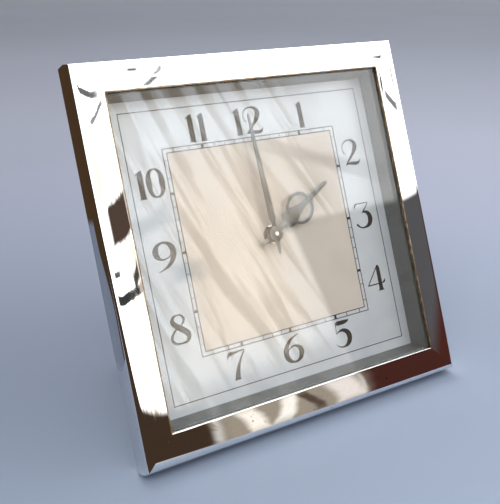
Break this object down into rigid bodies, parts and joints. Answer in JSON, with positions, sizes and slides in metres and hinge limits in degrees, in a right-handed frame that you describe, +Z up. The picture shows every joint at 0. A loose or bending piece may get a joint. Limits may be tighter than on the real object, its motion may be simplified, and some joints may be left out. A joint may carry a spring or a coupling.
{
  "type": "mantel clock",
  "caption": "Square chrome-framed mantel clock leaning back on a folding wire stand, with a glazed silvered dial, openwork hands and a wind-up movement.",
  "frame": {"origin": "on the table, under the middle of the clock's footprint", "axes": "+Z up, dial facing -Y and leaning back, +X to the right as seen from the front"},
  "size_m": [0.1312, 0.0734, 0.1234],
  "materials": {
    "chrome": "mirror polished",
    "clear_glass": "polished",
    "satin_grey": "satin",
    "dial_silver": "satin silvered",
    "bright_steel": "polished",
    "hand_grey": "satin",
    "dark_pad": "matte",
    "back_lacquer": "satin",
    "cover_plastic": "fine grain",
    "foot_rubber": "matte",
    "clock_brass": "polished",
    "blued_spring": "blued"
  },
  "bodies": {
    "case": {"bezel": "chrome", "glass_pane": "clear_glass", "sight_ring": "satin_grey", "dial_plate": "dial_silver", "dial_grommet": "bright_steel", "dial_pads": "dark_pad", "corner_blocks": "dark_pad", "back_plate": "back_lacquer", "back_plate_screws": "bright_steel", "rear_cover": "cover_plastic", "rear_cover_screws": "bright_steel", "stand_hinges": "bright_steel", "stand_rivets": "bright_steel", "movement_spacers": "clock_brass", "movement_screws": "bright_steel", "front_plate": "clock_brass", "rear_plate": "clock_brass", "plate_pillars": "clock_brass", "plate_screws": "bright_steel", "minute_wheel_stud": "bright_steel", "balance_cock": "clock_brass", "balance_cock_screw": "bright_steel", "hairspring_stud": "bright_steel", "hairspring": "blued_spring", "click_screw": "bright_steel", "click_spring": "blued_spring"},
    "stand": {"stand_wire": "bright_steel", "stand_feet": "foot_rubber"},
    "hand_arbor": {"centre_arbor": "bright_steel", "cannon_pinion": "clock_brass", "minute_hand": "hand_grey", "hand_set_knob": "clock_brass"},
    "hour_body": {"hour_wheel": "clock_brass", "hour_hand": "hand_grey"},
    "minute_body": {"minute_wheel": "clock_brass", "minute_wheel_pinion": "clock_brass"},
    "centre_body": {"centre_wheel": "clock_brass", "centre_pinion": "bright_steel"},
    "third_body": {"third_wheel": "clock_brass", "third_arbor": "bright_steel"},
    "fourth_body": {"fourth_wheel": "clock_brass", "fourth_arbor": "bright_steel"},
    "escape_body": {"escape_wheel": "clock_brass", "escape_arbor": "bright_steel"},
    "pallet_body": {"pallet_lever": "bright_steel", "pallet_arbor": "bright_steel"},
    "balance_body": {"balance_wheel": "clock_brass", "balance_staff": "bright_steel"},
    "barrel_body": {"barrel_drum": "clock_brass", "barrel_cover": "clock_brass", "mainspring": "blued_spring"},
    "winder_body": {"barrel_arbor": "bright_steel", "ratchet_wheel": "bright_steel", "winding_key": "clock_brass"},
    "click_body": {"click": "bright_steel"},
    "regulator_body": {"regulator_lever": "bright_steel"}
  },
  "joints": [
    {"name": "stand_fold", "type": "hinge", "parent": "case", "child": "stand", "pos_m": [0, 0.01551, 0.09363], "axis": [1, 0, 0], "range_deg": [-34.3, 0]},
    {"name": "hands_turn", "type": "hinge", "parent": "case", "child": "hand_arbor", "pos_m": [0, 0.00704, 0.05593], "axis": [0, 0.9198, -0.3923], "continuous": true},
    {"name": "hour_hand_turn", "type": "hinge", "parent": "case", "child": "hour_body", "pos_m": [0, 0.00704, 0.05593], "axis": [0, 0.9198, -0.3923], "continuous": true},
    {"name": "minute_wheel_turn", "type": "hinge", "parent": "case", "child": "minute_body", "pos_m": [0.00677, 0.008, 0.0582], "axis": [0, 0.9198, -0.3923], "continuous": true},
    {"name": "fourth_wheel_turn", "type": "hinge", "parent": "case", "child": "fourth_body", "pos_m": [0.01251, 0.01033, 0.06366], "axis": [0, 0.9198, -0.3923], "continuous": true},
    {"name": "third_wheel_turn", "type": "hinge", "parent": "case", "child": "third_body", "pos_m": [0.0025, 0.0126, 0.06898], "axis": [0, 0.9198, -0.3923], "continuous": true},
    {"name": "centre_wheel_turn", "type": "hinge", "parent": "case", "child": "centre_body", "pos_m": [0, 0.00704, 0.05593], "axis": [0, 0.9198, -0.3923], "continuous": true},
    {"name": "barrel_turn", "type": "hinge", "parent": "case", "child": "barrel_body", "pos_m": [-0.01336, 0.00179, 0.04364], "axis": [0, 0.9198, -0.3923], "continuous": true},
    {"name": "escape_wheel_turn", "type": "hinge", "parent": "case", "child": "escape_body", "pos_m": [0.01493, 0.00679, 0.05534], "axis": [0, 0.9198, -0.3923], "continuous": true},
    {"name": "pallet_rock", "type": "hinge", "parent": "case", "child": "pallet_body", "pos_m": [0.01685, 0.00472, 0.0505], "axis": [0, 0.9198, -0.3923], "range_deg": [-5, 5]},
    {"name": "balance_swing", "type": "hinge", "parent": "case", "child": "balance_body", "pos_m": [0.01819, 0.00183, 0.04371], "axis": [0, 0.9198, -0.3923], "range_deg": [-220, 220]},
    {"name": "winding_turn", "type": "hinge", "parent": "case", "child": "winder_body", "pos_m": [-0.01336, 0.00179, 0.04364], "axis": [0, 0.9198, -0.3923], "continuous": true},
    {"name": "click_lift", "type": "hinge", "parent": "case", "child": "click_body", "pos_m": [-0.01761, 0.00468, 0.05041], "axis": [0, 0.9198, -0.3923], "range_deg": [-12, 0]},
    {"name": "regulator_swing", "type": "hinge", "parent": "case", "child": "regulator_body", "pos_m": [0.01819, 0.00183, 0.04371], "axis": [0, 0.9198, -0.3923], "range_deg": [-15, 15]}
  ],
  "couplings": [
    {"joint": "hour_hand_turn", "follows": "hands_turn", "ratio": 0.083333},
    {"joint": "minute_wheel_turn", "follows": "hands_turn", "ratio": -0.33333},
    {"joint": "third_wheel_turn", "follows": "fourth_wheel_turn", "ratio": -0.13333},
    {"joint": "centre_wheel_turn", "follows": "fourth_wheel_turn", "ratio": 0.016667},
    {"joint": "barrel_turn", "follows": "fourth_wheel_turn", "ratio": -0.0027778},
    {"joint": "escape_wheel_turn", "follows": "fourth_wheel_turn", "ratio": -8}
  ]
}
